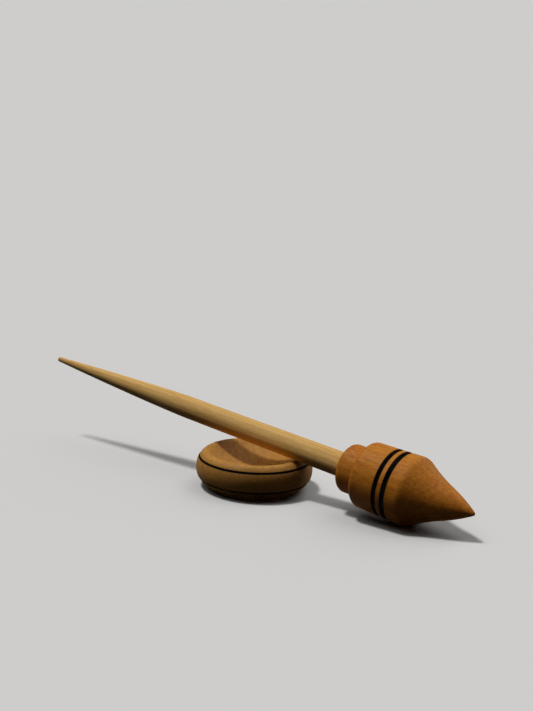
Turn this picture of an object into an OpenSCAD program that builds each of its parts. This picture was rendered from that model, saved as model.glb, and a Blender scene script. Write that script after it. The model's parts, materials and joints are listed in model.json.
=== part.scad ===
// Support spindle with its support bowl, turned in wood.
// The shaft's tenon is glued into the whorl, and the two spin as one about the spindle's own line.
// At rest the spindle lies as it is put down between uses: the whorl's shoulder on the table
// and the shaft across the lip of the bowl, in whose dish the point runs when it spins.
// The origin is the middle of the bowl's foot, on the table, and the point lies towards +X.

/* [Spindle] */
// Overall length, from the point to the free end
spindle_len = 260; // [235:1:320]
// Radius of the rounded point
point_round = 1.2; // [0.6:0.1:2.5]

/* [Whorl] */
// Distance from the point to the widest ring of the shoulder
cone_len = 34.7; // [28:0.1:42]
// Diameter at the widest ring of the shoulder
whorl_d = 34.8; // [30:0.2:42]
// Length of the body, from the widest ring to its rear face
body_len = 27.2; // [22:0.1:36]
// Diameter of the body where its rear edge begins to round over
body_rear_d = 33; // [29:0.2:40]
// Rounding radius of the shoulder
shoulder_round = 5.6; // [2:0.2:7]
// Rounding radius of the body's rear edge
rear_round = 3; // [1:0.2:4]
// Half angle of the cone just behind the point
point_angle = 31; // [24:1:36]
// Half angle of the cone where it flares into the shoulder
flare_angle = 31.5; // [24:0.5:38]
// Length over which the cone keeps the angle of the point
point_pull = 17; // [8:0.5:18]
// Length over which the cone keeps the angle of the flare
flare_pull = 17.2; // [8:0.1:19]
// Length of the collar behind the body
collar_len = 10.6; // [7:0.2:16]
// Diameter of the collar
collar_d = 24.4; // [20:0.2:28]
// Rounding radius of the collar's mouth
collar_round = 3; // [0.5:0.1:3.6]

/* [Whorl burnt lines] */
// Width of the burnt line nearer the shoulder
front_line_w = 2.8; // [0.8:0.1:3.4]
// Width of the burnt line nearer the collar
rear_line_w = 2.5; // [0.8:0.1:3.4]
// Depth of a burnt line on the whorl
whorl_line_depth = 0.5; // [0.2:0.05:0.8]
// Distance from the widest ring to the front line
whorl_line_place = 6.6; // [4:0.1:9]
// Distance between the two burnt lines, centre to centre
whorl_line_pitch = 4.9; // [3.8:0.1:7]

/* [Shaft] */
// Diameter of the shaft at the collar
shaft_root_d = 12.3; // [11:0.1:14]
// Diameter of the shaft where its taper begins
shaft_taper_d = 11.2; // [9:0.1:12]
// Length of the tapered stretch at the free end
taper_len = 90; // [70:1:120]
// Length over which the straight stretch eases into the taper
taper_ease = 12; // [4:1:25]
// Half angle of the taper at the free end
end_angle = 3.9; // [2.5:0.1:4.5]
// Length over which the taper keeps the angle of the free end
end_pull = 40; // [15:1:42]
// Diameter of the blunt free end
end_d = 2.4; // [1.8:0.1:4]
// Rounding radius of the free end
end_round = 0.7; // [0.2:0.1:0.9]

/* [Glued joint] */
// Diameter of the shaft's tenon
tenon_d = 9; // [7:0.1:10.5]
// Length of the tenon
tenon_len = 26; // [16:1:34]
// Chamfer at the foot of the tenon
tenon_chamfer = 0.6; // [0.2:0.1:1.2]
// Glue line around the tenon
glue_gap = 0.05; // [0.02:0.01:0.1]
// Room for glue below the tenon
glue_well = 0.8; // [0.4:0.1:2]

/* [Bowl] */
// Largest diameter of the bowl, half way up its side
bowl_d = 58.4; // [52:0.2:70]
// Height of the bowl
bowl_h = 18.2; // [15:0.2:24]
// Diameter of the ring along the top of the lip
lip_d = 48.2; // [44:0.2:50]
// Rounding radius of the lip towards the dish
lip_round = 4; // [2:0.2:5]
// Depth of the dish below the lip
dish_depth = 7.5; // [5.5:0.1:9]
// Diameter of the foot
foot_d = 47.4; // [38:0.2:48]
// Height of the foot under the rounded side
foot_h = 2.4; // [1.5:0.1:4]
// Chamfer around the foot
foot_edge = 0.5; // [0.2:0.1:1]

/* [Bowl burnt lines] */
// Width of a burnt line on the bowl
bowl_line_w = 1.3; // [0.6:0.1:2]
// Depth of a burnt line on the bowl
bowl_line_depth = 0.45; // [0.2:0.05:0.7]
// Height of each burnt line above and below the middle of the side
bowl_line_rise = 5.1; // [3:0.1:5.6]
// How far the side between the lines stands proud of the lip and the base
side_proud = 0.35; // [0.1:0.05:0.6]

/* [Lean] */
// Distance from the point to where the shaft lies on the lip
lean_reach = 101.4; // [95:0.2:125]
// Sideways distance from the bowl's middle to the spindle's line
lean_side = 2.5; // [0:0.1:8]
// Gap kept between the shaft and the lip
rest_gap = 0.3; // [0.1:0.05:0.6]

/* [Hidden] */
$fn = 96;

// Steps along each curve
arc_steps = 10;
curve_steps = 24;
side_steps = 28;
dish_steps = 20;
// How far a cut runs past the face it opens
cut_past = 1;

// Stations along the spindle, measured from the point
front_line = cone_len + whorl_line_place;
body_end = cone_len + body_len;
mouth = body_end + collar_len;
taper_start = spindle_len - taper_len;
tenon_foot = mouth - tenon_len;

// Shoulder and rear edge: centres of their roundings, and the line that touches both
shoulder_mid = [whorl_d / 2 - shoulder_round, cone_len];
rear_mid = [body_rear_d / 2 - rear_round, body_end - rear_round];
body_run = rear_mid - shoulder_mid;
body_slope = asin((shoulder_round - rear_round) / norm(body_run)) - atan2(body_run[0], body_run[1]);
body_reach = shoulder_mid * normal(body_slope) + shoulder_round;

// Bowl: centre and half sizes of its rounded side, and the arc of its dish
lip_r = lip_d / 2;
side_half_h = (bowl_h - foot_h) / 2;
side_half_w = bowl_d / 2 - lip_r;
side_mid = foot_h + side_half_h;
dish_floor = bowl_h - dish_depth;
lip_mid = [lip_r, bowl_h - lip_round];
lip_rise = lip_mid[1] - dish_floor;
dish_r = (lip_r * lip_r + lip_rise * lip_rise - lip_round * lip_round) / (2 * dish_depth);
dish_mid = [0, dish_floor + dish_r];
dish_angle = atan2(dish_mid[1] - lip_mid[1], lip_r);

// Lean: the angle at which the shoulder touches the table while the shaft lies on the lip
shaft_slope = (shaft_taper_d - shaft_root_d) / 2 / (taper_start - mouth);
lean_r = shaft_root_d / 2 + shaft_slope * (lean_reach - mouth) + rest_gap;
lean_run = [lean_reach - shoulder_mid[1], shoulder_mid[0] - lean_r];
lean = asin((bowl_h - shoulder_round) / norm(lean_run)) - atan2(lean_run[1], lean_run[0]);
lip_x = sqrt(lip_r * lip_r - lean_side * lean_side);
point_x = lip_x + lean_reach * cos(lean) + lean_r * sin(lean);
point_z = shoulder_mid[0] * cos(lean) + shoulder_round - shoulder_mid[1] * sin(lean);

// Unit vector at an angle from the first axis of an outline
function normal(angle) = [cos(angle), sin(angle)];

// Unit vector along a flank that opens at an angle from the spindle's line
function along(angle) = [sin(angle), cos(angle)];

// Points of an arc
function arc(mid, radius, from, to, steps) =
    [for (i = [0 : steps]) mid + radius * normal(from + (to - from) * i / steps)];

// Points of a curve that leaves the first point along one handle and reaches the last along another
function curve(a, b, c, d, steps) = [
    for (i = [0 : steps])
        let (t = i / steps, u = 1 - t)
            u * u * u * a + 3 * u * u * t * b + 3 * u * t * t * c + t * t * t * d
];

// Radius of the whorl's body at a station
function body_r(station) = (body_reach - station * sin(body_slope)) / cos(body_slope);

// Point on the bowl's rounded side at an angle, drawn in by a margin
function side(angle, margin) =
    [lip_r + (side_half_w - margin) * cos(angle), side_mid + side_half_h * sin(angle)];

// Stretch of the bowl's rounded side between two angles
function side_run(from, to, margin, steps) =
    [for (i = [0 : steps]) side(from + (to - from) * i / steps, margin)];

// Round-bottomed cut of a given width and depth in a wall that faces along an angle
module burnt_line(wall, facing, width, depth) {
    bit = (width * width / 4 + depth * depth) / (2 * depth);
    translate(wall + (bit - depth) * normal(facing))
        circle(r = bit);
}

// Burnt line of a given width in the whorl's body at a station
module whorl_line(station, width) {
    burnt_line([body_r(station), station], body_slope, width, whorl_line_depth);
}

// Half outline of the whorl without its lines and bore
module whorl_outline() {
    point_mid = [0, point_round];
    flank_start = point_mid + point_round * normal(-point_angle);
    flank_end = shoulder_mid + shoulder_round * normal(-flare_angle);
    collar_mid = [collar_d / 2 - collar_round, mouth - collar_round];
    polygon(concat(
        arc(point_mid, point_round, -90, -point_angle, arc_steps),
        curve(flank_start, flank_start + point_pull * along(point_angle),
            flank_end - flare_pull * along(flare_angle), flank_end, curve_steps),
        arc(shoulder_mid, shoulder_round, -flare_angle, body_slope, arc_steps),
        arc(rear_mid, rear_round, body_slope, 90, arc_steps),
        [[collar_d / 2, body_end]],
        arc(collar_mid, collar_round, 0, 90, arc_steps),
        [[0, mouth]]
    ));
}

// Half outline of the shaft with its tenon
module shaft_outline() {
    tenon_r = tenon_d / 2;
    tip_mid = [end_d / 2 - end_round, spindle_len - end_round];
    taper_from = [shaft_taper_d / 2, taper_start];
    taper_to = tip_mid + end_round * normal(end_angle);
    polygon(concat(
        [[0, tenon_foot], [tenon_r - tenon_chamfer, tenon_foot], [tenon_r, tenon_foot + tenon_chamfer]],
        [[tenon_r, mouth], [shaft_root_d / 2, mouth]],
        curve(taper_from, taper_from + taper_ease * [shaft_slope, 1],
            taper_to - end_pull * along(-end_angle), taper_to, curve_steps),
        arc(tip_mid, end_round, end_angle, 90, arc_steps),
        [[0, spindle_len]]
    ));
}

// Half outline of the bowl without its lines
module bowl_outline() {
    line_angle = asin(bowl_line_rise / side_half_h);
    base_r = foot_d / 2;
    polygon(concat(
        [[0, foot_h]],
        side_run(-90, -line_angle, side_proud, side_steps / 2),
        side_run(-line_angle, line_angle, 0, side_steps),
        side_run(line_angle, 90, side_proud, side_steps / 2),
        arc(lip_mid, lip_round, 90, 180 - dish_angle, arc_steps),
        arc(dish_mid, dish_r, -dish_angle, -90, dish_steps)
    ));
    polygon([[0, 0], [base_r - foot_edge, 0], [base_r, foot_edge], [base_r, side_mid], [0, side_mid]]);
}

// Places a piece that was turned with its point at the origin, up the Z axis, at the spindle's lean
module on_spindle() {
    translate([point_x, lean_side, point_z])
        rotate([0, lean - 90, 0])
            children();
}

module shaft() {
    color("#d9c394")
        on_spindle()
            rotate_extrude()
                shaft_outline();
}

module whorl() {
    color("#c68a48")
        on_spindle()
            difference() {
                rotate_extrude()
                    difference() {
                        whorl_outline();
                        whorl_line(front_line, front_line_w);
                        whorl_line(front_line + whorl_line_pitch, rear_line_w);
                    }
                translate([0, 0, tenon_foot - glue_well])
                    cylinder(h = glue_well + tenon_len + cut_past, d = tenon_d + 2 * glue_gap);
            }
}

module support_bowl() {
    color("#cfae80")
        rotate_extrude()
            difference() {
                bowl_outline();
                for (rise = [-bowl_line_rise, bowl_line_rise]) {
                    angle = asin(rise / side_half_h);
                    facing = atan2(sin(angle) / side_half_h, cos(angle) / side_half_w);
                    burnt_line(side(angle, side_proud / 2), facing, bowl_line_w, bowl_line_depth);
                }
            }
}

shaft();
whorl();
support_bowl();
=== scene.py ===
"""Support spindle lying across its support bowl: three turned pieces in oiled wood with burnt lines."""

import json
import math

import bmesh
import bpy
from mathutils import Matrix, Vector


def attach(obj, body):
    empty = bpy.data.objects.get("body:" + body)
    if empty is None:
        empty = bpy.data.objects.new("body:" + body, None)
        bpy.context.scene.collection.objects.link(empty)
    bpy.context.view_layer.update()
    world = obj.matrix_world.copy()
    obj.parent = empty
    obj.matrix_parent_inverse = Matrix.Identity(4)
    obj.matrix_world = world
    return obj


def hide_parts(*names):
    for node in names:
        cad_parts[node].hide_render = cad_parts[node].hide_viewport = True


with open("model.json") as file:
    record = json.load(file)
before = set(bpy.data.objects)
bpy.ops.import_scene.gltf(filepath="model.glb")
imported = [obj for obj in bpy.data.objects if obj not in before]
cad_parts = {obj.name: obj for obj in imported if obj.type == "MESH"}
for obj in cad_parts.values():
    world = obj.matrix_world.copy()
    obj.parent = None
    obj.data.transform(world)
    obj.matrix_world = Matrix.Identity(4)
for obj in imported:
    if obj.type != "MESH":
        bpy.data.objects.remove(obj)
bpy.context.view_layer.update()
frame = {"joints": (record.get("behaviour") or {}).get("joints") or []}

bl_info = {
    "name": "Support Spindle",
    "version": (1, 0, 0),
    "blender": (4, 5, 0),
    "location": "3D View > Sidebar > Spindle",
    "description": "Turns a support spindle and its bowl in oiled wood on the packed frame",
    "category": "Add Mesh",
}

MM = 0.001

# Fineness of the turned meshes
WHORL_ROUND_STEPS = 160
SHAFT_ROUND_STEPS = 96
BOWL_ROUND_STEPS = 192
WHORL_STEP = 0.5 * MM
SHAFT_STEP = 1.2 * MM
BOWL_STEP = 0.5 * MM
ARC_STEPS = 10
CURVE_STEPS = 60
GROOVE_STEPS = 10
CORNER_STEPS = 3
CROSSING_TRIES = 40
STEP_SLACK = 1e-6
ON_AXIS = 1e-7

# Sanding: which corners are rounded over, how far, and the most of a stretch that this may take
SHARP_TURN = math.radians(14)
SANDED_EDGE = 0.14 * MM
SANDED_SHARE = 0.45

# Camera, where the photograph was taken from
CAMERA_PLACE = Vector((0.55133, -0.78002, 0.30747))
CAMERA_TURN = math.radians(35.04)
CAMERA_DIP = math.radians(14.07)
CAMERA_TILT = math.radians(2.58)
CAMERA_LENS = 100.8
CAMERA_SENSOR = 36

# Lamps: turn from straight behind the object to the camera's right, rise above the floor, and width
KEY_LAMP = (math.radians(-84), math.radians(71), math.radians(10))
SIDE_LAMP = (math.radians(-92), math.radians(62), math.radians(45))
TOP_LAMP = (math.radians(60), math.radians(66), math.radians(45))
RIM_LAMP = (math.radians(36), math.radians(32), math.radians(40))

# Floor, and the heights of the view direction between which wall turns into ceiling
FLOOR_HALF = 12.0
FLOOR_CELLS = 8
FLOOR_ROUGH = 0.9
WALL_TOP = 0.0
CEILING_EDGE = 0.4

# Curve from display values to light levels
DISPLAY_WHITE = 255
DISPLAY_TOE = 0.04045
DISPLAY_TOE_SLOPE = 12.92
DISPLAY_LIFT = 0.055
DISPLAY_POWER = 2.4

# Grain, alike in the three woods; a range is carried to 0 and 1, or to its last two numbers
ACROSS_AXIS = (1, 1, 0)
GRAIN_LINE = (0, 0, 1)
NOISE_MIDDLE = (0.5, 0.5, 0.5)
DRIFT_WIDTH = 14 * MM
DRIFT_RUN = 60 * MM
CLOUD_WIDTH = 11 * MM
CLOUD_RUN = 30 * MM
RING_DRAW = (3.7, 1.9)
RING_PACE = 0.23
RING_SHIFT = 3.0
STRENGTH_DRAW = (8.3, 5.1)
STRENGTH_PACE = 0.73
STRENGTH_RANGE = (0.3, 0.7, 0.35, 1.0)
LATE_RISE = (0.25, 0.9)
LATE_FALL = (0.9, 1.0, 1.0, 0.0)
STREAK_RANGE = (0.28, 0.72)
FIBRE_RANGE = (0.25, 0.75)
PORE_EDGE = (0.1, 0.3, 1.0, 0.0)
CLOUD_RANGE = (0.3, 0.7)
END_GRAIN_RANGE = (0.25, 0.95)

# Burnt lines, with their edges as shares of a line's half width
CHAR_EDGE = (0.9, 1.06, 1.0, 0.0)
SCORCH_EDGE = (0.95, 1.7, 1.0, 0.0)
RAGGED_PACE = 1600.0
RAGGED_MIDDLE = 0.5
RUBBED_RINGS = (9000, 9000, 0)
RUBBED_PATCH_PACE = 420.0
RUBBED_RANGE = (0.2, 0.42)
CHAR_BLACK = (0.0012, 0.0009, 0.0007, 1.0)
CHAR_RUBBED = (0.0105, 0.0078, 0.0058, 1.0)
CHAR_ROUGH = 0.95
RUBBED_ROUGH = -0.1
RUBBED_FILM = 0.12
RUBBED_HEIGHT = 0.1

# Marks of turning and handling
MARK_BREAK_PACE = 130.0
MARK_RANGE = (0.12, 0.4)
POLISH_RANGE = (0.32, 0.68)

# Oiled wood: shades as shares of the late wood's brightness, and what a pore takes from the film of oil
PORE_SHADE = 0.35
END_SHADE = 0.7
SCORCH_SHADE = 0.3
PORE_FILM = -0.6
WOOD_IOR = 1.47
WOOD_SPECULAR = 0.03
OIL_IOR = 1.5

SHAFT_LOOK = {
    "grain": {
        "Pith": (9 * MM, 6 * MM, 0), "Wander": 1.2 * MM,
        "Streak_Width": 0.9 * MM, "Streak_Length": 45 * MM,
        "Fibre_Width": 0.6 * MM, "Fibre_Length": 6 * MM,
        "Pore_Width": 1.1 * MM, "Pore_Length": 5 * MM, "Pore_Share": 0.16,
    },
    "marks": {"Mark_Width": 0.6 * MM, "Patch_Width": 12 * MM},
    "ring_depth": 0.4, "depths": {"Streaks": 0.4, "Fibres": 0.45, "Clouds": 0.25}, "tone_base": -0.28,
    "pore_depth": 0.3, "end_depth": 0.35, "polish_depth": -0.08, "rough": 0.68, "fibre_rough": 0.06,
    "film": 0.15, "film_depth": 0.1, "film_rough": 0.58,
    "fibre_height": 0.5, "pore_height": 0.8, "mark_height": 0.25, "bump": 0.03 * MM,
}
WHORL_LOOK = {
    "grain": {
        "Pith": (-26 * MM, 14 * MM, 0), "Wander": 1.6 * MM,
        "Streak_Width": 1.4 * MM, "Streak_Length": 16 * MM,
        "Fibre_Width": 0.8 * MM, "Fibre_Length": 3.4 * MM,
        "Pore_Width": 1.5 * MM, "Pore_Length": 4 * MM, "Pore_Share": 0.24,
    },
    "marks": {"Mark_Width": 0.5 * MM, "Patch_Width": 9 * MM},
    "ring_depth": 0.15, "depths": {"Streaks": 0.35, "Fibres": 0.6, "Clouds": 0.3}, "tone_base": -0.2,
    "pore_depth": 0.32, "end_depth": 0.25, "polish_depth": -0.08, "rough": 0.66, "fibre_rough": 0.05,
    "film": 0.28, "film_depth": 0.14, "film_rough": 0.6,
    "fibre_height": 0.4, "pore_height": 0.7, "mark_height": 0.25, "bump": 0.025 * MM,
    "ragged": 0.22 * MM, "scorch_depth": 0.35,
}
BOWL_LOOK = {
    "grain": {
        "Pith": (16 * MM, -34 * MM, 0), "Wander": 2 * MM,
        "Streak_Width": 1.6 * MM, "Streak_Length": 20 * MM,
        "Fibre_Width": 0.9 * MM, "Fibre_Length": 2.8 * MM,
        "Pore_Width": 1.3 * MM, "Pore_Length": 3.5 * MM, "Pore_Share": 0.2,
    },
    "marks": {"Mark_Width": 0.5 * MM, "Patch_Width": 10 * MM},
    "ring_depth": 0.18, "depths": {"Streaks": 0.26, "Fibres": 0.65, "Clouds": 0.28}, "tone_base": -0.22,
    "pore_depth": 0.4, "end_depth": 0.4, "polish_depth": -0.08, "rough": 0.68, "fibre_rough": 0.06,
    "film": 0.22, "film_depth": 0.12, "film_rough": 0.58,
    "fibre_height": 0.5, "pore_height": 0.7, "mark_height": 0.3, "bump": 0.03 * MM,
    "ragged": 0.14 * MM, "scorch_depth": 0.3,
}


def length(name, description, millimetres):
    """Property that holds a length."""
    return bpy.props.FloatProperty(
        name=name, description=description, default=millimetres * MM, min=0, precision=5, unit="LENGTH")


def angle(name, description, degrees):
    """Property that holds an angle."""
    return bpy.props.FloatProperty(
        name=name, description=description, default=math.radians(degrees), subtype="ANGLE")


def strength(name, description, default):
    """Property that holds a lamp's strength."""
    return bpy.props.FloatProperty(name=name, description=description, default=default, min=0)


def linear(level):
    """Light level of a display value between 0 and 1."""
    if level <= DISPLAY_TOE:
        return level / DISPLAY_TOE_SLOPE
    return ((level + DISPLAY_LIFT) / (1 + DISPLAY_LIFT)) ** DISPLAY_POWER


def tint(name, description, red, green, blue):
    """Property that holds a colour, given as display values from 0 to 255."""
    return bpy.props.FloatVectorProperty(
        name=name, description=description, size=3, min=0, max=1, subtype="COLOR",
        default=[linear(value / DISPLAY_WHITE) for value in (red, green, blue)])


class ShaftSettings(bpy.types.PropertyGroup):
    """Sizes and colours of the shaft."""
    spindle_len: length("Spindle length", "From the point to the free end", 260)
    root_d: length("Root diameter", "Shaft diameter at the collar", 12.3)
    taper_d: length("Taper diameter", "Shaft diameter where its taper begins", 11.2)
    taper_len: length("Taper length", "Tapered stretch at the free end", 90)
    taper_ease: length("Taper ease", "Stretch over which the shaft eases into its taper", 12)
    end_angle: angle("End angle", "Half angle of the taper at the free end", 3.9)
    end_pull: length("End pull", "Stretch over which the taper keeps the angle of the free end", 40)
    end_d: length("End diameter", "Diameter of the blunt free end", 2.4)
    end_round: length("End rounding", "Rounding radius of the free end", 0.7)
    tenon_d: length("Tenon diameter", "Diameter of the tenon in the whorl", 9)
    tenon_len: length("Tenon length", "Length of the tenon in the whorl", 26)
    tenon_chamfer: length("Tenon chamfer", "Chamfer at the foot of the tenon", 0.6)
    early: tint("Early wood", "Colour between the growth rings", 238, 193, 117)
    late: tint("Late wood", "Colour along the growth rings", 196, 143, 73)
    ring_width: length("Ring width", "Distance between growth rings", 2.1)


class WhorlSettings(bpy.types.PropertyGroup):
    """Sizes and colours of the whorl."""
    point_round: length("Point rounding", "Radius of the rounded point", 1.2)
    cone_len: length("Cone length", "From the point to the widest ring", 34.7)
    whorl_d: length("Whorl diameter", "Diameter at the widest ring", 34.8)
    body_len: length("Body length", "From the widest ring to the rear face", 27.2)
    body_rear_d: length("Rear diameter", "Body diameter at its rear edge", 33)
    shoulder_round: length("Shoulder rounding", "Rounding radius of the shoulder", 5.6)
    rear_round: length("Rear rounding", "Rounding radius of the rear edge", 3)
    point_angle: angle("Point angle", "Half angle of the cone behind the point", 31)
    flare_angle: angle("Flare angle", "Half angle of the cone at the shoulder", 31.5)
    point_pull: length("Point pull", "Stretch over which the cone keeps the angle of the point", 17)
    flare_pull: length("Flare pull", "Stretch over which the cone keeps the angle of the flare", 17.2)
    collar_len: length("Collar length", "Length of the collar behind the body", 10.6)
    collar_d: length("Collar diameter", "Diameter of the collar", 24.4)
    collar_round: length("Collar rounding", "Rounding radius of the collar's mouth", 3)
    front_line_w: length("Front line width", "Width of the burnt line nearer the shoulder", 2.8)
    rear_line_w: length("Rear line width", "Width of the burnt line nearer the collar", 2.5)
    line_depth: length("Line depth", "Depth of a burnt line", 0.5)
    line_place: length("Line place", "From the widest ring to the front line", 6.6)
    line_pitch: length("Line pitch", "Between the two burnt lines", 4.9)
    glue_gap: length("Glue line", "Gap around the tenon", 0.05)
    glue_well: length("Glue well", "Room for glue below the tenon", 0.8)
    early: tint("Early wood", "Colour between the growth rings", 219, 142, 40)
    late: tint("Late wood", "Colour along the growth rings", 158, 80, 11)
    ring_width: length("Ring width", "Distance between growth rings", 1.7)


class BowlSettings(bpy.types.PropertyGroup):
    """Sizes and colours of the support bowl."""
    bowl_d: length("Bowl diameter", "Largest diameter, half way up the side", 58.4)
    bowl_h: length("Bowl height", "Height of the bowl", 18.2)
    lip_d: length("Lip diameter", "Diameter of the ring along the top of the lip", 48.2)
    lip_round: length("Lip rounding", "Rounding radius of the lip towards the dish", 4)
    dish_depth: length("Dish depth", "Depth of the dish below the lip", 7.5)
    foot_d: length("Foot diameter", "Diameter of the foot", 47.4)
    foot_h: length("Foot height", "Height of the foot under the rounded side", 2.4)
    foot_edge: length("Foot edge", "Chamfer around the foot", 0.5)
    line_w: length("Line width", "Width of a burnt line", 1.3)
    line_depth: length("Line depth", "Depth of a burnt line", 0.45)
    line_rise: length("Line rise", "Height of each line above and below the middle of the side", 5.1)
    side_proud: length("Side proud", "How far the side between the lines stands proud", 0.35)
    early: tint("Early wood", "Colour between the growth rings", 208, 154, 75)
    late: tint("Late wood", "Colour along the growth rings", 156, 100, 38)
    ring_width: length("Ring width", "Distance between growth rings", 2.6)
    grain_turn: angle("Grain turn", "Direction of the grain, from the Y axis", 30)


class StageSettings(bpy.types.PropertyGroup):
    """Floor, lamps and room."""
    floor: tint("Floor", "Colour of the floor as the camera sees it", 226, 225, 223)
    bounce: tint("Bounce", "Colour of the floor as it lights the object from below", 15, 14, 14)
    key_power: strength("Key lamp", "Strength of the small lamp high on the left", 1.55)
    side_power: strength("Side lamp", "Strength of the broad lamp around the key lamp", 0.4)
    top_power: strength("Top lamp", "Strength of the broad lamp overhead on the right", 0.56)
    rim_power: strength("Rim lamp", "Strength of the broad low lamp behind on the right", 0.39)
    haze: tint("Haze", "Even light from all round", 10, 10, 11)
    wall: tint("Wall", "Colour of the room along the horizon", 206, 205, 203)
    ceiling: tint("Ceiling", "Colour of the room overhead", 64, 64, 65)


def normal(turn):
    """Unit vector at an angle from the first axis of an outline."""
    return Vector((math.cos(turn), math.sin(turn)))


def along(turn):
    """Unit vector along a flank that opens at an angle from the turning axis."""
    return Vector((math.sin(turn), math.cos(turn)))


def spread(start, end, steps=CURVE_STEPS):
    """Evenly spread values from one end to the other."""
    return [start + (end - start) * i / steps for i in range(steps + 1)]


def arc(mid, radius, start, end, steps=ARC_STEPS):
    """Points of an arc."""
    return [mid + radius * normal(turn) for turn in spread(start, end, steps)]


def curve(a, b, c, d):
    """Points of a curve that leaves the first point along one handle and reaches the last along another."""
    points = []
    for t in spread(0, 1):
        u = 1 - t
        points.append(u * u * u * a + 3 * u * u * t * b + 3 * u * t * t * c + t * t * t * d)
    return points


def refine(outline, step):
    """Outline with every stretch longer than the step divided."""
    points = [outline[0]]
    for here, there in zip(outline, outline[1:]):
        parts = max(1, math.ceil((there - here).length / step - STEP_SLACK))
        points += [here.lerp(there, i / parts) for i in range(1, parts + 1)]
    return points


def crossing(outside, inside, mid, radius):
    """Point where a stretch of outline enters a circle."""
    low, high = 0.0, 1.0
    for _ in range(CROSSING_TRIES):
        half = (low + high) / 2
        if (outside.lerp(inside, half) - mid).length > radius:
            low = half
        else:
            high = half
    return outside.lerp(inside, low)


def cut_line(outline, wall, facing, width, depth):
    """Outline with a round-bottomed cut of a given width and depth in its wall."""
    bit = (width * width / 4 + depth * depth) / (2 * depth)
    mid = wall + (bit - depth) * normal(facing)
    inside = [(point - mid).length < bit for point in outline]
    first = inside.index(True)
    last = len(inside) - 1 - inside[::-1].index(True)
    enter = crossing(outline[first - 1], outline[first], mid, bit) - mid
    leave = crossing(outline[last + 1], outline[last], mid, bit) - mid
    start = math.atan2(enter[1], enter[0])
    sweep = (start - math.atan2(leave[1], leave[0])) % math.tau
    return outline[:first] + arc(mid, bit, start, start - sweep, GROOVE_STEPS) + outline[last + 1:]


def sand_corners(outline):
    """Outline with its sharp corners rounded over as sandpaper leaves them."""
    points = [outline[0]]
    for before, corner, after in zip(outline, outline[1:], outline[2:]):
        back = before - corner
        ahead = after - corner
        if back.length < ON_AXIS or ahead.length < ON_AXIS:
            continue
        if math.pi - back.angle(ahead) < SHARP_TURN:
            points.append(corner)
            continue
        start = corner + back.normalized() * min(SANDED_EDGE, back.length * SANDED_SHARE)
        end = corner + ahead.normalized() * min(SANDED_EDGE, ahead.length * SANDED_SHARE)
        for t in spread(0, 1, CORNER_STEPS):
            points.append(start.lerp(corner, t).lerp(corner.lerp(end, t), t))
    return points + [outline[-1]]


def turn_on_lathe(name, outline, round_steps, place=Matrix.Identity(4)):
    """Object turned from a half outline of (radius, height) points that starts and ends on the axis."""
    bm = bmesh.new()
    rings = []
    for radius, height in outline:
        count = round_steps if radius > ON_AXIS else 1
        turns = [math.tau * i / round_steps for i in range(count)]
        reach = radius if count > 1 else 0
        rings.append([bm.verts.new((reach * math.cos(t), reach * math.sin(t), height)) for t in turns])
    for low, high in zip(rings, rings[1:]):
        for i in range(round_steps):
            j = (i + 1) % round_steps
            corners = [low[i % len(low)], low[j % len(low)], high[j % len(high)], high[i % len(high)]]
            bm.faces.new(list(dict.fromkeys(corners)))
    bmesh.ops.recalc_face_normals(bm, faces=bm.faces)
    mesh = bpy.data.meshes.new(name)
    bm.to_mesh(mesh)
    bm.free()
    mesh.transform(place)
    mesh.shade_smooth()
    piece = bpy.data.objects.new(name, mesh)
    bpy.context.scene.collection.objects.link(piece)
    return piece


def spindle_place():
    """Matrix that lays a piece turned up the Z axis along the spindle, with its point at the hinge."""
    hinge = frame["joints"][0]
    up = Vector(hinge["axis"]).normalized()
    side = Vector((0, 1, 0))
    front = side.cross(up)
    turn = Matrix((front, side, up)).transposed().to_4x4()
    return Matrix.Translation(hinge["pos_m"]) @ turn


def body_wall(whorl):
    """Centres of the shoulder's and rear edge's rounding, and the wall's facing angle and reach."""
    shoulder = Vector((whorl.whorl_d / 2 - whorl.shoulder_round, whorl.cone_len))
    rear = Vector((
        whorl.body_rear_d / 2 - whorl.rear_round,
        whorl.cone_len + whorl.body_len - whorl.rear_round))
    run = rear - shoulder
    facing = math.asin((whorl.shoulder_round - whorl.rear_round) / run.length) - math.atan2(run[0], run[1])
    return shoulder, rear, facing, shoulder.dot(normal(facing)) + whorl.shoulder_round


def whorl_lines(whorl):
    """Places and widths of the whorl's burnt lines on its body, front one first, and their facing angle."""
    _, _, facing, reach = body_wall(whorl)
    front = whorl.cone_len + whorl.line_place
    lines = []
    for station, width in ((front, whorl.front_line_w), (front + whorl.line_pitch, whorl.rear_line_w)):
        wall = (reach - station * math.sin(facing)) / math.cos(facing)
        lines.append((Vector((wall, station)), width))
    return lines, facing


def whorl_mouth(whorl):
    """Distance from the point to the mouth of the collar."""
    return whorl.cone_len + whorl.body_len + whorl.collar_len


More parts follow.
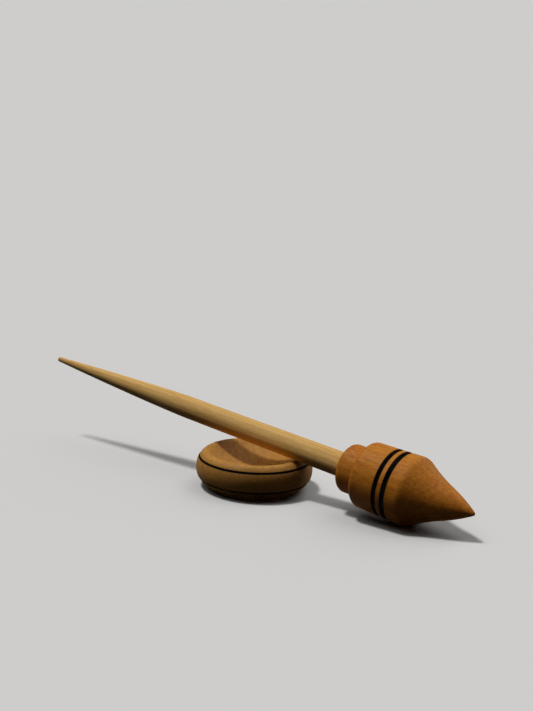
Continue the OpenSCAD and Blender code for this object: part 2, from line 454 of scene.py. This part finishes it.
def whorl_outline(whorl, shaft):
    """Half outline of the whorl from its point round to the floor of its bore."""
    shoulder, rear, facing, _ = body_wall(whorl)
    body_end = whorl.cone_len + whorl.body_len
    mouth = whorl_mouth(whorl)
    bore_r = shaft.tenon_d / 2 + whorl.glue_gap
    bore_floor = mouth - shaft.tenon_len - whorl.glue_well
    point = Vector((0, whorl.point_round))
    flank_start = point + whorl.point_round * normal(-whorl.point_angle)
    flank_end = shoulder + whorl.shoulder_round * normal(-whorl.flare_angle)
    collar = Vector((whorl.collar_d / 2 - whorl.collar_round, mouth - whorl.collar_round))
    outline = arc(point, whorl.point_round, -math.pi / 2, -whorl.point_angle)
    outline += curve(
        flank_start,
        flank_start + whorl.point_pull * along(whorl.point_angle),
        flank_end - whorl.flare_pull * along(whorl.flare_angle),
        flank_end)[1:]
    outline += arc(shoulder, whorl.shoulder_round, -whorl.flare_angle, facing)[1:]
    outline += arc(rear, whorl.rear_round, facing, math.pi / 2)
    outline += [Vector((whorl.collar_d / 2, body_end))]
    outline += arc(collar, whorl.collar_round, 0, math.pi / 2)
    outline += [Vector((bore_r, mouth)), Vector((bore_r, bore_floor)), Vector((0, bore_floor))]
    outline = refine(outline, WHORL_STEP)
    lines, facing = whorl_lines(whorl)
    for place, width in lines:
        outline = cut_line(outline, place, facing, width, whorl.line_depth)
    return sand_corners(outline)


def shaft_outline(shaft, mouth):
    """Half outline of the shaft from the foot of its tenon to its free end."""
    tenon_r = shaft.tenon_d / 2
    tenon_foot = mouth - shaft.tenon_len
    taper_start = shaft.spindle_len - shaft.taper_len
    slope = (shaft.taper_d - shaft.root_d) / 2 / (taper_start - mouth)
    tip = Vector((shaft.end_d / 2 - shaft.end_round, shaft.spindle_len - shaft.end_round))
    taper_from = Vector((shaft.taper_d / 2, taper_start))
    taper_to = tip + shaft.end_round * normal(shaft.end_angle)
    outline = [
        Vector((0, tenon_foot)),
        Vector((tenon_r - shaft.tenon_chamfer, tenon_foot)),
        Vector((tenon_r, tenon_foot + shaft.tenon_chamfer)),
        Vector((tenon_r, mouth)),
        Vector((shaft.root_d / 2, mouth)),
    ]
    outline += curve(
        taper_from,
        taper_from + shaft.taper_ease * Vector((slope, 1)),
        taper_to - shaft.end_pull * along(-shaft.end_angle),
        taper_to)
    outline += arc(tip, shaft.end_round, shaft.end_angle, math.pi / 2)[1:]
    outline += [Vector((0, shaft.spindle_len))]
    return sand_corners(refine(outline, SHAFT_STEP))


def side_half(bowl):
    """Half width and half height of the oval that the bowl's side follows."""
    return bowl.bowl_d / 2 - bowl.lip_d / 2, (bowl.bowl_h - bowl.foot_h) / 2


def bowl_side(bowl, turn, margin):
    """Point on the bowl's rounded side at an angle, drawn in by a margin."""
    half_w, half_h = side_half(bowl)
    reach = Vector(((half_w - margin) * math.cos(turn), half_h * math.sin(turn)))
    return Vector((bowl.lip_d / 2, bowl.foot_h + half_h)) + reach


def bowl_lines(bowl):
    """Places and facing angles of the bowl's burnt lines, lower one first."""
    half_w, half_h = side_half(bowl)
    places = []
    for rise in (-bowl.line_rise, bowl.line_rise):
        turn = math.asin(rise / half_h)
        facing = math.atan2(math.sin(turn) / half_h, math.cos(turn) / half_w)
        places.append((bowl_side(bowl, turn, bowl.side_proud / 2), facing))
    return places


def bowl_outline(bowl):
    """Half outline of the bowl from the middle of its foot round to the middle of its dish."""
    lip_r = bowl.lip_d / 2
    base_r = bowl.foot_d / 2
    _, half_h = side_half(bowl)
    line_turn = math.asin(bowl.line_rise / half_h)
    lip = Vector((lip_r, bowl.bowl_h - bowl.lip_round))
    floor = bowl.bowl_h - bowl.dish_depth
    rise = lip[1] - floor
    dish_r = (lip_r ** 2 + rise ** 2 - bowl.lip_round ** 2) / (2 * bowl.dish_depth)
    dish = Vector((0, floor + dish_r))
    dish_turn = math.atan2(dish[1] - lip[1], lip_r)
    right = math.pi / 2
    lower = [bowl_side(bowl, turn, bowl.side_proud) for turn in spread(-right, -line_turn)]
    foot = [point for point in lower if point[0] > base_r]
    outline = [Vector((0, 0)), Vector((base_r - bowl.foot_edge, 0)), Vector((base_r, bowl.foot_edge))]
    outline += [Vector((base_r, bowl.foot_h))] + foot
    outline += [bowl_side(bowl, turn, 0) for turn in spread(-line_turn, line_turn)]
    outline += [bowl_side(bowl, turn, bowl.side_proud) for turn in spread(line_turn, right)]
    outline += arc(lip, bowl.lip_round, right, math.pi - dish_turn)[1:]
    outline += arc(dish, dish_r, -dish_turn, -right, CURVE_STEPS)[1:]
    outline[-1][0] = 0
    outline = refine(outline, BOWL_STEP)
    for place, facing in bowl_lines(bowl):
        outline = cut_line(outline, place, facing, bowl.line_w, bowl.line_depth)
    return sand_corners(outline)


class Wiring:
    """Adds nodes to a tree and joins them."""

    # Places of the Mix node's sockets: factor, first and second, and the result
    NUMBERS = (0, 2, 3)
    NUMBER_OUT = 0
    COLOURS = (0, 6, 7)
    COLOUR_OUT = 2

    def __init__(self, tree):
        self.tree = tree

    def node(self, kind, **settings):
        """New node with its settings."""
        node = self.tree.nodes.new(kind)
        for key, value in settings.items():
            setattr(node, key, value)
        return node

    def plug(self, socket, value):
        """Joins an output to a socket, or sets the socket to a plain value."""
        if isinstance(value, bpy.types.NodeSocket):
            self.tree.links.new(value, socket)
        else:
            socket.default_value = value

    def fill(self, sockets, values):
        """Plugs values into sockets in order."""
        for socket, value in zip(sockets, values):
            self.plug(socket, value)

    def math(self, operation, *values, clamp=False):
        """Output of a sum on numbers."""
        node = self.node("ShaderNodeMath", operation=operation, use_clamp=clamp)
        self.fill(node.inputs, values)
        return node.outputs[0]

    def vector(self, operation, *values):
        """Output of a sum on vectors."""
        node = self.node("ShaderNodeVectorMath", operation=operation)
        self.fill(node.inputs, values)
        return node.outputs["Value" if operation in ("LENGTH", "DOT_PRODUCT") else "Vector"]

    def combine(self, *values):
        """Vector of three numbers."""
        node = self.node("ShaderNodeCombineXYZ")
        self.fill(node.inputs, values)
        return node.outputs[0]

    def split(self, vector):
        """Three numbers of a vector."""
        node = self.node("ShaderNodeSeparateXYZ")
        self.plug(node.inputs[0], vector)
        return node.outputs

    def remap(self, value, low, high, to_low=0.0, to_high=1.0, smooth=False):
        """Number carried from one range to another and held at its ends."""
        kind = "SMOOTHSTEP" if smooth else "LINEAR"
        node = self.node("ShaderNodeMapRange", interpolation_type=kind, clamp=True)
        self.fill(node.inputs, (value, low, high, to_low, to_high))
        return node.outputs[0]

    def noise(self, vector, scale=1.0, detail=2.0, roughness=0.5):
        """Noise at a vector, as a number and as a colour."""
        node = self.node("ShaderNodeTexNoise")
        settings = {"Vector": vector, "Scale": scale, "Detail": detail, "Roughness": roughness}
        for key, value in settings.items():
            self.plug(node.inputs[key], value)
        return node.outputs

    def blend(self, factor, first, second):
        """Number between two."""
        node = self.node("ShaderNodeMix", data_type="FLOAT", clamp_factor=True)
        self.fill([node.inputs[i] for i in self.NUMBERS], (factor, first, second))
        return node.outputs[self.NUMBER_OUT]

    def mix(self, factor, first, second):
        """Colour between two."""
        node = self.node("ShaderNodeMix", data_type="RGBA", clamp_factor=True)
        self.fill([node.inputs[i] for i in self.COLOURS], (factor, first, second))
        return node.outputs[self.COLOUR_OUT]


def new_group(name, inputs, outputs):
    """Node group with named sockets: its wiring, its inputs and its outputs."""
    group = bpy.data.node_groups.new(name, "ShaderNodeTree")
    for socket, kind, default in inputs:
        made = group.interface.new_socket(socket, in_out="INPUT", socket_type=kind)
        made.default_value = default
    for socket in outputs:
        group.interface.new_socket(socket, in_out="OUTPUT", socket_type="NodeSocketFloat")
    wiring = Wiring(group)
    source = wiring.node("NodeGroupInput").outputs
    target = wiring.node("NodeGroupOutput").inputs
    return wiring, source, target


def stretched(wiring, vector, width, run):
    """Vector scaled so that noise on it makes streaks of a width and a length along Z."""
    across = wiring.math("DIVIDE", 1.0, width)
    down = wiring.math("DIVIDE", 1.0, run)
    return wiring.vector("MULTIPLY", vector, wiring.combine(across, across, down))


def grain_group():
    """Growth rings about a pith, streaks, fibres, pores and clouds, with the grain along Z."""
    name = "wood_grain"
    if name in bpy.data.node_groups:
        return bpy.data.node_groups[name]
    number = "NodeSocketFloat"
    wiring, source, target = new_group(
        name,
        [
            ("Vector", "NodeSocketVector", (0, 0, 0)),
            ("Facing", "NodeSocketVector", GRAIN_LINE),
            ("Pith", "NodeSocketVector", (0, 0, 0)),
            ("Ring Width", number, 2 * MM),
            ("Wander", number, 1 * MM),
            ("Streak Width", number, 1 * MM),
            ("Streak Length", number, 40 * MM),
            ("Fibre Width", number, 0.3 * MM),
            ("Fibre Length", number, 8 * MM),
            ("Pore Width", number, 0.9 * MM),
            ("Pore Length", number, 7 * MM),
            ("Pore Share", number, 0.15),
        ],
        ["Rings", "Streaks", "Fibres", "Pores", "Clouds", "End Grain"])
    place = source["Vector"]
    slow = stretched(wiring, place, DRIFT_WIDTH, DRIFT_RUN)
    drift = wiring.vector("SUBTRACT", wiring.noise(slow, detail=2.0)["Color"], NOISE_MIDDLE)
    wander = wiring.combine(source["Wander"], source["Wander"], source["Wander"])
    bent = wiring.vector("ADD", place, wiring.vector("MULTIPLY", drift, wander))

    # Rings: years counted out from the pith, unevenly wide, each darkening to its end at its own strength
    off_pith = wiring.vector("MULTIPLY", wiring.vector("SUBTRACT", bent, source["Pith"]), ACROSS_AXIS)
    years = wiring.math("DIVIDE", wiring.vector("LENGTH", off_pith), source["Ring Width"])
    uneven = wiring.noise(wiring.combine(years, *RING_DRAW), scale=RING_PACE, detail=1.0)["Fac"]
    years = wiring.math("ADD", years, wiring.math("MULTIPLY", uneven, RING_SHIFT))
    season = wiring.math("FRACT", years)
    year = wiring.math("FLOOR", years)
    rise = wiring.remap(season, *LATE_RISE, smooth=True)
    fall = wiring.remap(season, *LATE_FALL, smooth=True)
    depth = wiring.noise(wiring.combine(year, *STRENGTH_DRAW), scale=STRENGTH_PACE, detail=0.0)["Fac"]
    depth = wiring.remap(depth, *STRENGTH_RANGE)
    wiring.plug(target["Rings"], wiring.math("MULTIPLY", wiring.math("MULTIPLY", rise, fall), depth))

    # Streaks and fibres
    long_way = stretched(wiring, bent, source["Streak Width"], source["Streak Length"])
    streaks = wiring.noise(long_way, detail=3.0, roughness=0.55)["Fac"]
    wiring.plug(target["Streaks"], wiring.remap(streaks, *STREAK_RANGE))
    short_way = stretched(wiring, bent, source["Fibre Width"], source["Fibre Length"])
    fibres = wiring.noise(short_way, detail=2.0, roughness=0.6)["Fac"]
    wiring.plug(target["Fibres"], wiring.remap(fibres, *FIBRE_RANGE))

    # Pores: a share of the cells, each with a dark spot in its middle
    cells = wiring.node("ShaderNodeTexVoronoi", feature="F1")
    pore_way = stretched(wiring, bent, source["Pore Width"], source["Pore Length"])
    wiring.plug(cells.inputs["Vector"], pore_way)
    wiring.plug(cells.inputs["Scale"], 1.0)
    pick = wiring.node("ShaderNodeSeparateColor")
    wiring.plug(pick.inputs[0], cells.outputs["Color"])
    chosen = wiring.math("LESS_THAN", pick.outputs[0], source["Pore Share"])
    spot = wiring.remap(cells.outputs["Distance"], *PORE_EDGE, smooth=True)
    wiring.plug(target["Pores"], wiring.math("MULTIPLY", spot, chosen))

    # Clouds, and where the surface cuts across the grain
    clouds = wiring.noise(stretched(wiring, place, CLOUD_WIDTH, CLOUD_RUN), detail=3.0)["Fac"]
    wiring.plug(target["Clouds"], wiring.remap(clouds, *CLOUD_RANGE))
    lean = wiring.math("ABSOLUTE", wiring.vector("DOT_PRODUCT", source["Facing"], GRAIN_LINE))
    wiring.plug(target["End Grain"], wiring.remap(lean, *END_GRAIN_RANGE, smooth=True))
    return wiring.tree


def burnt_line_group():
    """Charred line round the turning axis, with a ragged edge, a scorched border and fine rubbed rings."""
    name = "burnt_line"
    if name in bpy.data.node_groups:
        return bpy.data.node_groups[name]
    number = "NodeSocketFloat"
    wiring, source, target = new_group(
        name,
        [
            ("Vector", "NodeSocketVector", (0, 0, 0)),
            ("Radius", number, 17 * MM),
            ("Height", number, 40 * MM),
            ("Half Width", number, 1 * MM),
            ("Ragged", number, 0.1 * MM),
        ],
        ["Char", "Scorch", "Rubbed"])
    place = source["Vector"]
    height = wiring.split(place)["Z"]
    reach = wiring.vector("LENGTH", wiring.vector("MULTIPLY", place, ACROSS_AXIS))
    out = wiring.math("SUBTRACT", reach, source["Radius"])
    up = wiring.math("SUBTRACT", height, source["Height"])
    away = wiring.vector("LENGTH", wiring.combine(out, up, 0.0))
    edge = wiring.noise(place, scale=RAGGED_PACE, detail=2.0)["Fac"]
    edge = wiring.math("MULTIPLY", wiring.math("SUBTRACT", edge, RAGGED_MIDDLE), source["Ragged"])
    away = wiring.math("ADD", away, edge)
    share = wiring.math("DIVIDE", away, source["Half Width"])
    wiring.plug(target["Char"], wiring.remap(share, *CHAR_EDGE, smooth=True))
    wiring.plug(target["Scorch"], wiring.remap(share, *SCORCH_EDGE, smooth=True))
    rings = wiring.vector("MULTIPLY", wiring.combine(reach, height, 0.0), RUBBED_RINGS)
    patches = wiring.noise(place, scale=RUBBED_PATCH_PACE, detail=3.0)["Fac"]
    rubbed = wiring.math("MULTIPLY", wiring.noise(rings, detail=1.0)["Fac"], patches)
    wiring.plug(target["Rubbed"], wiring.remap(rubbed, *RUBBED_RANGE))
    return wiring.tree


def turning_group():
    """Faint rings of the lathe tool and sandpaper round the turning axis, and patches of hand polish."""
    name = "turning_marks"
    if name in bpy.data.node_groups:
        return bpy.data.node_groups[name]
    number = "NodeSocketFloat"
    wiring, source, target = new_group(
        name,
        [
            ("Vector", "NodeSocketVector", (0, 0, 0)),
            ("Mark Width", number, 0.5 * MM),
            ("Patch Width", number, 9 * MM),
        ],
        ["Marks", "Polish"])
    place = source["Vector"]
    height = wiring.split(place)["Z"]
    reach = wiring.vector("LENGTH", wiring.vector("MULTIPLY", place, ACROSS_AXIS))
    fine = wiring.math("DIVIDE", 1.0, source["Mark Width"])
    fineness = wiring.combine(fine, fine, 0.0)
    rings = wiring.vector("MULTIPLY", wiring.combine(reach, height, 0.0), fineness)
    broken = wiring.noise(place, scale=MARK_BREAK_PACE, detail=1.0)["Fac"]
    marks = wiring.math("MULTIPLY", wiring.noise(rings, detail=2.0)["Fac"], broken)
    wiring.plug(target["Marks"], wiring.remap(marks, *MARK_RANGE))
    patch = wiring.math("DIVIDE", 1.0, source["Patch Width"])
    polish = wiring.noise(place, scale=patch, detail=3.0, roughness=0.6)["Fac"]
    wiring.plug(target["Polish"], wiring.remap(polish, *POLISH_RANGE))
    return wiring.tree


def use_group(wiring, group, **values):
    """Node group placed in a material with its own values; underscores stand for spaces."""
    node = wiring.node("ShaderNodeGroup")
    node.node_tree = group
    for key, value in values.items():
        wiring.plug(node.inputs[key.replace("_", " ")], value)
    return node.outputs


def faded(colour, level):
    """Colour with four parts at a share of its brightness."""
    return (*(part * level for part in colour), 1.0)


def solid(colour):
    """Colour with four parts."""
    return (*colour, 1.0)


def seen_from(wiring, socket, place, turn_only=False):
    """Point or direction of the row frame as it stands in a piece's own frame."""
    mapping = wiring.node("ShaderNodeMapping", vector_type="TEXTURE")
    wiring.plug(mapping.inputs["Vector"], socket)
    mapping.inputs["Rotation"].default_value = place.to_euler()
    if not turn_only:
        mapping.inputs["Location"].default_value = place.translation
    return mapping.outputs[0]


def oiled_wood(name, settings, look, place, lines=(), grain_place=None):
    """Satin oiled wood with its grain, its turning marks and its burnt lines."""
    material = bpy.data.materials.new(name)
    material.use_nodes = True
    wiring = Wiring(material.node_tree)
    shader = material.node_tree.nodes["Principled BSDF"]
    row = wiring.node("ShaderNodeTexCoord").outputs
    grain_place = grain_place or place
    vector = seen_from(wiring, row["Object"], place)
    grain_vector = seen_from(wiring, row["Object"], grain_place)
    grain_facing = seen_from(wiring, row["Normal"], grain_place, turn_only=True)
    grain = use_group(
        wiring, grain_group(), Vector=grain_vector, Facing=grain_facing, Ring_Width=settings.ring_width,
        **look["grain"])
    marks = use_group(wiring, turning_group(), Vector=vector, **look["marks"])

    # Colour of the wood
    tone = wiring.math("MULTIPLY", grain["Rings"], look["ring_depth"])
    for key, depth in look["depths"].items():
        tone = wiring.math("ADD", tone, wiring.math("MULTIPLY", grain[key], depth))
    tone = wiring.math("ADD", tone, look["tone_base"], clamp=True)
    colour = wiring.mix(tone, solid(settings.early), solid(settings.late))
    pores = wiring.math("MULTIPLY", grain["Pores"], look["pore_depth"])
    colour = wiring.mix(pores, colour, faded(settings.late, PORE_SHADE))
    ends = wiring.math("MULTIPLY", grain["End Grain"], look["end_depth"])
    colour = wiring.mix(ends, colour, faded(settings.late, END_SHADE))

    # Roughness, film of oil and relief
    rough = wiring.math("MULTIPLY_ADD", marks["Polish"], look["polish_depth"], look["rough"])
    rough = wiring.math("ADD", rough, wiring.math("MULTIPLY", grain["Fibres"], look["fibre_rough"]))
    film = wiring.math("MULTIPLY_ADD", marks["Polish"], look["film_depth"], look["film"])
    film = wiring.math("MULTIPLY", film, wiring.math("MULTIPLY_ADD", grain["Pores"], PORE_FILM, 1.0))
    height = wiring.math("MULTIPLY", grain["Fibres"], look["fibre_height"])
    height = wiring.math("SUBTRACT", height, wiring.math("MULTIPLY", grain["Pores"], look["pore_height"]))
    height = wiring.math("ADD", height, wiring.math("MULTIPLY", marks["Marks"], look["mark_height"]))

    # Burnt lines over all of it
    for wall, width in lines:
        line = use_group(
            wiring, burnt_line_group(), Vector=vector, Radius=wall[0], Height=wall[1],
            Half_Width=width / 2, Ragged=look["ragged"])
        scorch = wiring.math("MULTIPLY", line["Scorch"], look["scorch_depth"])
        colour = wiring.mix(scorch, colour, faded(settings.late, SCORCH_SHADE))
        char = wiring.mix(line["Rubbed"], CHAR_BLACK, CHAR_RUBBED)
        colour = wiring.mix(line["Char"], colour, char)
        char_rough = wiring.math("MULTIPLY_ADD", line["Rubbed"], RUBBED_ROUGH, CHAR_ROUGH)
        rough = wiring.blend(line["Char"], rough, char_rough)
        film = wiring.blend(line["Char"], film, wiring.math("MULTIPLY", line["Rubbed"], RUBBED_FILM))
        height = wiring.math("ADD", height, wiring.math("MULTIPLY", line["Rubbed"], RUBBED_HEIGHT))

    wiring.plug(shader.inputs["Base Color"], colour)
    wiring.plug(shader.inputs["Roughness"], rough)
    wiring.plug(shader.inputs["Coat Weight"], film)
    bump = wiring.node("ShaderNodeBump")
    bump.inputs["Strength"].default_value = 1.0
    bump.inputs["Distance"].default_value = look["bump"]
    wiring.plug(bump.inputs["Height"], height)
    wiring.plug(shader.inputs["Normal"], bump.outputs[0])
    shader.inputs["IOR"].default_value = WOOD_IOR
    shader.inputs["Specular IOR Level"].default_value = WOOD_SPECULAR
    shader.inputs["Coat Roughness"].default_value = look["film_rough"]
    shader.inputs["Coat IOR"].default_value = OIL_IOR
    return material


def place_camera():
    """Camera at the photograph's viewing angle."""
    data = bpy.data.cameras.new("camera")
    data.lens = CAMERA_LENS
    data.sensor_width = CAMERA_SENSOR
    camera = bpy.data.objects.new("camera", data)
    turn = Matrix.Rotation(CAMERA_TURN, 4, "Z")
    dip = Matrix.Rotation(math.pi / 2 - CAMERA_DIP, 4, "X")
    tilt = Matrix.Rotation(CAMERA_TILT, 4, "Z")
    camera.matrix_world = Matrix.Translation(CAMERA_PLACE) @ turn @ dip @ tilt
    bpy.context.scene.collection.objects.link(camera)
    bpy.context.scene.camera = camera


def hang_lamp(name, turn, rise, width, power):
    """Even lamp of a given width, turned from behind the object to the camera's right and raised."""
    data = bpy.data.lights.new(name, "SUN")
    data.angle = width
    data.energy = power
    lamp = bpy.data.objects.new(name, data)
    round_turn = CAMERA_TURN - turn
    away = Vector((-math.sin(round_turn), math.cos(round_turn), 0))
    toward = away * math.cos(rise) + Vector((0, 0, math.sin(rise)))
    lamp.rotation_mode = "QUATERNION"
    lamp.rotation_quaternion = (-toward).to_track_quat("-Z", "Y")
    bpy.context.scene.collection.objects.link(lamp)


def shown_ray(wiring):
    """Number that is 1 for rays by which the background itself is seen."""
    path = wiring.node("ShaderNodeLightPath").outputs
    seen = wiring.math("MAXIMUM", path["Is Camera Ray"], path["Is Glossy Ray"])
    return wiring.math("MAXIMUM", seen, path["Is Transmission Ray"])


def lay_floor(stage):
    """Wide floor that shows pale to the camera and in gloss, and lights the object gently from below."""
    bm = bmesh.new()
    bmesh.ops.create_grid(bm, x_segments=FLOOR_CELLS, y_segments=FLOOR_CELLS, size=FLOOR_HALF)
    mesh = bpy.data.meshes.new("floor")
    bm.to_mesh(mesh)
    bm.free()
    floor = bpy.data.objects.new("floor", mesh)
    bpy.context.scene.collection.objects.link(floor)
    material = bpy.data.materials.new("pale_floor")
    material.use_nodes = True
    wiring = Wiring(material.node_tree)
    shader = material.node_tree.nodes["Principled BSDF"]
    colour = wiring.mix(shown_ray(wiring), solid(stage.bounce), solid(stage.floor))
    wiring.plug(shader.inputs["Base Color"], colour)
    shader.inputs["Roughness"].default_value = FLOOR_ROUGH
    shader.inputs["Specular IOR Level"].default_value = 0.0
    mesh.materials.append(material)


def paint_world(stage):
    """Faint even light from all round, shown as a room with pale walls and a dim ceiling."""
    world = bpy.data.worlds.new("studio")
    bpy.context.scene.world = world
    world.use_nodes = True
    wiring = Wiring(world.node_tree)
    background = world.node_tree.nodes["Background"]
    height = wiring.split(wiring.node("ShaderNodeTexCoord").outputs["Generated"])["Z"]
    overhead = wiring.remap(height, WALL_TOP, CEILING_EDGE, smooth=True)
    room = wiring.mix(overhead, solid(stage.wall), solid(stage.ceiling))
    wiring.plug(background.inputs["Color"], wiring.mix(shown_ray(wiring), solid(stage.haze), room))
    background.inputs["Strength"].default_value = 1.0


class SPINDLE_OT_shaft(bpy.types.Operator):
    """Turn the shaft with its tenon"""
    bl_idname = "spindle.shaft"
    bl_label = "Shaft"

    def execute(self, context):
        shaft = context.scene.spindle_shaft
        mouth = whorl_mouth(context.scene.spindle_whorl)
        place = spindle_place()
        piece = turn_on_lathe("turned_shaft", shaft_outline(shaft, mouth), SHAFT_ROUND_STEPS, place)
        piece.data.materials.append(oiled_wood("straw_wood", shaft, SHAFT_LOOK, place))
        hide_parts("shaft")
        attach(piece, "spindle")
        return {"FINISHED"}


class SPINDLE_OT_whorl(bpy.types.Operator):
    """Turn the whorl with its cone, burnt lines, collar and bore"""
    bl_idname = "spindle.whorl"
    bl_label = "Whorl"

    def execute(self, context):
        shaft = context.scene.spindle_shaft
        whorl = context.scene.spindle_whorl
        place = spindle_place()
        piece = turn_on_lathe("turned_whorl", whorl_outline(whorl, shaft), WHORL_ROUND_STEPS, place)
        lines, _ = whorl_lines(whorl)
        piece.data.materials.append(oiled_wood("amber_wood", whorl, WHORL_LOOK, place, lines))
        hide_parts("whorl")
        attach(piece, "spindle")
        return {"FINISHED"}


class SPINDLE_OT_bowl(bpy.types.Operator):
    """Turn the support bowl with its foot, burnt lines, lip and dish"""
    bl_idname = "spindle.bowl"
    bl_label = "Support Bowl"

    def execute(self, context):
        bowl = context.scene.spindle_bowl
        piece = turn_on_lathe("turned_bowl", bowl_outline(bowl), BOWL_ROUND_STEPS)
        lines = [(wall, bowl.line_w) for wall, _ in bowl_lines(bowl)]
        grain_place = Matrix.Rotation(bowl.grain_turn, 4, "Z") @ Matrix.Rotation(-math.pi / 2, 4, "X")
        piece.data.materials.append(
            oiled_wood("tan_wood", bowl, BOWL_LOOK, Matrix.Identity(4), lines, grain_place))
        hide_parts("support_bowl")
        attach(piece, "bowl")
        return {"FINISHED"}


class SPINDLE_OT_stage(bpy.types.Operator):
    """Set the pale floor, the soft lamps and the camera"""
    bl_idname = "spindle.stage"
    bl_label = "Stage"

    def execute(self, context):
        stage = context.scene.spindle_stage
        context.scene.view_settings.view_transform = "Standard"
        place_camera()
        lay_floor(stage)
        paint_world(stage)
        hang_lamp("key_lamp", *KEY_LAMP, stage.key_power)
        hang_lamp("side_lamp", *SIDE_LAMP, stage.side_power)
        hang_lamp("top_lamp", *TOP_LAMP, stage.top_power)
        hang_lamp("rim_lamp", *RIM_LAMP, stage.rim_power)
        return {"FINISHED"}


class SPINDLE_PT_panel(bpy.types.Panel):
    """Steps of the build"""
    bl_label = "Support Spindle"
    bl_idname = "SPINDLE_PT_panel"
    bl_space_type = "VIEW_3D"
    bl_region_type = "UI"
    bl_category = "Spindle"

    def draw(self, context):
        for operator in OPERATORS:
            self.layout.operator(operator.bl_idname)
        for key, kind in SETTINGS.items():
            box = self.layout.box()
            for name in kind.__annotations__:
                box.prop(getattr(context.scene, key), name)


OPERATORS = (SPINDLE_OT_stage, SPINDLE_OT_shaft, SPINDLE_OT_whorl, SPINDLE_OT_bowl)
SETTINGS = {
    "spindle_shaft": ShaftSettings,
    "spindle_whorl": WhorlSettings,
    "spindle_bowl": BowlSettings,
    "spindle_stage": StageSettings,
}


def register():
    """Adds the settings, the operators and the panel."""
    for settings in SETTINGS.values():
        bpy.utils.register_class(settings)
    for key, settings in SETTINGS.items():
        setattr(bpy.types.Scene, key, bpy.props.PointerProperty(type=settings))
    for kind in (*OPERATORS, SPINDLE_PT_panel):
        bpy.utils.register_class(kind)


def unregister():
    """Takes them away again."""
    for kind in (SPINDLE_PT_panel, *reversed(OPERATORS)):
        bpy.utils.unregister_class(kind)
    for key, settings in SETTINGS.items():
        delattr(bpy.types.Scene, key)
        bpy.utils.unregister_class(settings)


def main():
    """Builds the stage and the three pieces."""
    register()
    bpy.ops.spindle.stage()
    bpy.ops.spindle.shaft()
    bpy.ops.spindle.whorl()
    bpy.ops.spindle.bowl()


if __name__ == "__main__":
    main()
